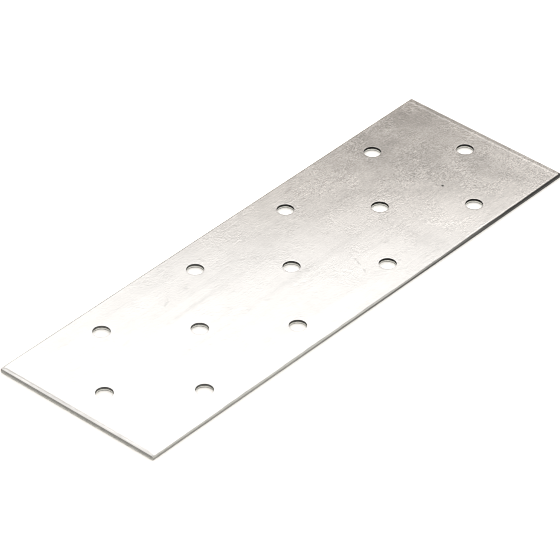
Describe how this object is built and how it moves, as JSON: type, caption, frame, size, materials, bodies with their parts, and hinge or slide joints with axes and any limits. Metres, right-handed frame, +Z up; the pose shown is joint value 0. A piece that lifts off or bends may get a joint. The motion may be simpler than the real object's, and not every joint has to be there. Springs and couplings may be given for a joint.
{
  "type": "mending plate",
  "caption": "Flat galvanised steel mending plate with staggered rows of round nail holes, for joining timber members that meet flush.",
  "frame": {"origin": "middle of the plate's bottom face", "axes": "+X along the plate, +Y across it, +Z up through the face that the punches struck, where nail and screw heads seat; the rows are named as seen looking along +X, so the left row is at +Y, and the holes of a row are numbered from -X to +X"},
  "size_m": [0.1814, 0.0588, 0.0015],
  "materials": {
    "galvanised_steel": "hot-dip galvanised sheet, satin grey with faint mottling and handling marks; bare darker steel on the cut walls"
  },
  "bodies": {
    "root": {"plate": "galvanised_steel"}
  },
  "joints": []
}
